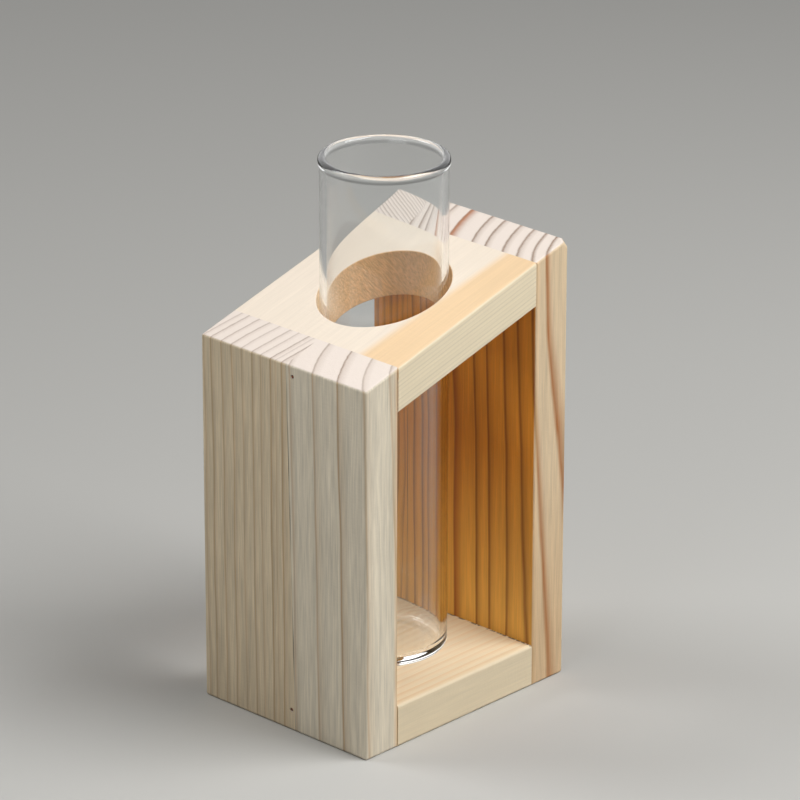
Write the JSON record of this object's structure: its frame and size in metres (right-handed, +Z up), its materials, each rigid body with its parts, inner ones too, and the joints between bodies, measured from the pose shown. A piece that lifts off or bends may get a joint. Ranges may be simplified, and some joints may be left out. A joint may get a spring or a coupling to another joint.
{
  "type": "test tube vase",
  "caption": "Slanted pine stand, open front and back, whose bored top board steadies an upright flat-bottomed glass test tube for cut stems; the tube lifts out.",
  "frame": {"origin": "middle of the stand's underside, midway between the outer faces of the side boards and midway between front and back", "axes": "+X towards the high side board, +Y from front to back, +Z up along the tube"},
  "size_m": [0.0678, 0.0528, 0.1333],
  "materials": {
    "pine": "sanded, left bare",
    "steel": "dull drawn wire",
    "glass": "clear, fire polished"
  },
  "bodies": {
    "stand": {"left_rear_stave": "pine", "left_front_stave": "pine", "right_rear_stave": "pine", "right_front_stave": "pine", "top_board": "pine", "base_board": "pine", "brads": "steel"},
    "tube": {"glass_tube": "glass"}
  },
  "joints": [
    {"name": "tube_lift", "type": "slide", "parent": "stand", "child": "tube", "axis": [0, 0, 1], "range_m": [0, 0.11]}
  ]
}
